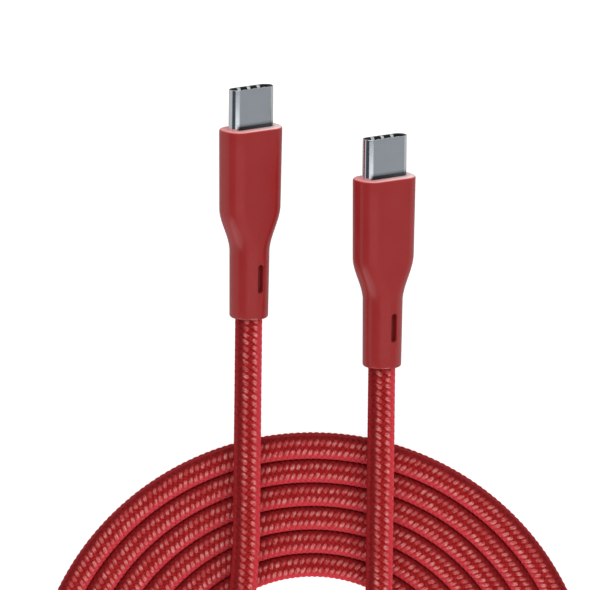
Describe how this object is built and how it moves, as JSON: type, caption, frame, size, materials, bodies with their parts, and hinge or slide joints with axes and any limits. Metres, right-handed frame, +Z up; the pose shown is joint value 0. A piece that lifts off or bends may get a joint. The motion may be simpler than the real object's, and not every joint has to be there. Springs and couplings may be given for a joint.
{
  "type": "charging cable",
  "caption": "Braided charging cable wound in a flat round coil, with a reversible plug at each end in a soft moulded grip with a slotted strain relief.",
  "frame": {"origin": "on the surface that carries the cable, under the middle of its whole outline", "axes": "+Z up from that surface; +Y along both plugs, from the coil towards their mouths; +X to the right, from the left plug to the right plug"},
  "size_m": [0.0912, 0.1476, 0.0093],
  "materials": {
    "moulded_red": "satin elastomer",
    "braid_red": "braided yarn",
    "plated_steel": "nickel plated",
    "spring_steel": "bright",
    "hard_white": "matt",
    "black_insulator": "matt",
    "ivory_insulator": "matt",
    "gold_contact": "gold plated",
    "board_green": "solder mask",
    "chip_black": "matt",
    "capacitor_tan": "ceramic",
    "wire_red": "gloss",
    "wire_black": "gloss",
    "wire_white": "gloss",
    "wire_blue": "gloss"
  },
  "bodies": {
    "root": {"left_overmold": "moulded_red", "left_inner_mold": "hard_white", "left_shell": "plated_steel", "left_front_insulator": "black_insulator", "left_rear_insulator": "ivory_insulator", "left_upper_contacts": "gold_contact", "left_lower_contacts": "gold_contact", "left_latch_plate": "spring_steel", "left_upper_ground_spring": "spring_steel", "left_lower_ground_spring": "spring_steel", "left_circuit_board": "board_green", "left_identity_chip": "chip_black", "left_board_capacitors": "capacitor_tan", "left_upper_can": "plated_steel", "left_lower_can": "plated_steel", "left_crimp_ring": "plated_steel", "left_cord_end": "braid_red", "left_power_wire": "wire_red", "left_ground_wire": "wire_black", "left_data_wires": "wire_white", "left_signal_wire": "wire_blue", "right_overmold": "moulded_red", "right_inner_mold": "hard_white", "right_shell": "plated_steel", "right_front_insulator": "black_insulator", "right_rear_insulator": "ivory_insulator", "right_upper_contacts": "gold_contact", "right_lower_contacts": "gold_contact", "right_latch_plate": "spring_steel", "right_upper_ground_spring": "spring_steel", "right_lower_ground_spring": "spring_steel", "right_circuit_board": "board_green", "right_identity_chip": "chip_black", "right_board_capacitors": "capacitor_tan", "right_upper_can": "plated_steel", "right_lower_can": "plated_steel", "right_crimp_ring": "plated_steel", "right_cord_end": "braid_red", "right_power_wire": "wire_red", "right_ground_wire": "wire_black", "right_data_wires": "wire_white", "right_signal_wire": "wire_blue", "left_lead": "braid_red", "coil": "braid_red", "right_lead": "braid_red"}
  },
  "joints": []
}
